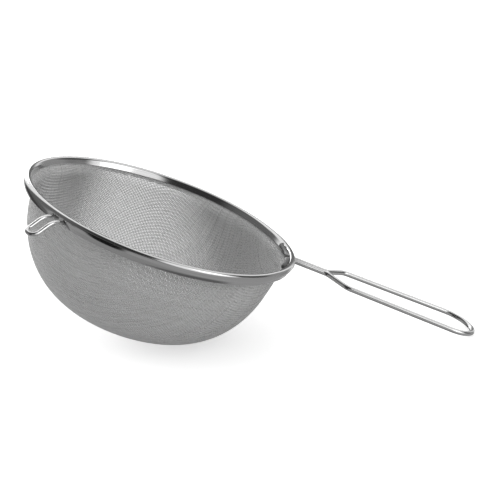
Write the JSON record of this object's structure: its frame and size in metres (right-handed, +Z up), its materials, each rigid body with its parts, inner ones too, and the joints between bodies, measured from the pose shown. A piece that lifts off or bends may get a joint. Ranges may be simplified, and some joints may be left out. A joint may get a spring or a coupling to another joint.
{
  "type": "kitchen strainer",
  "caption": "Round wire-mesh kitchen strainer with a folded sheet rim, wire rest hooks and a bent-wire loop handle, resting tilted on its bowl and handle end.",
  "frame": {"origin": "Centre of the bounding box at its bottom: the table surface under the resting strainer, halfway between the back of the rim and the far end of the handle.", "axes": "+X from the bowl towards the handle, +Z up from the table; the strainer rests on the bowl and on the handle's far end, so its rim is tilted 19.4 degrees about Y, lower at the handle."},
  "size_m": [0.354, 0.22, 0.1367],
  "materials": {
    "wire_cloth": "satin",
    "rim_sheet": "polished",
    "drawn_wire": "polished",
    "weld_metal": "satin"
  },
  "bodies": {
    "root": {"mesh_bowl": "wire_cloth", "rim_band": "rim_sheet", "rim_wire": "drawn_wire", "handle_wire": "drawn_wire", "hook_left": "drawn_wire", "hook_right": "drawn_wire", "handle_welds": "weld_metal", "hook_welds": "weld_metal"}
  },
  "joints": []
}
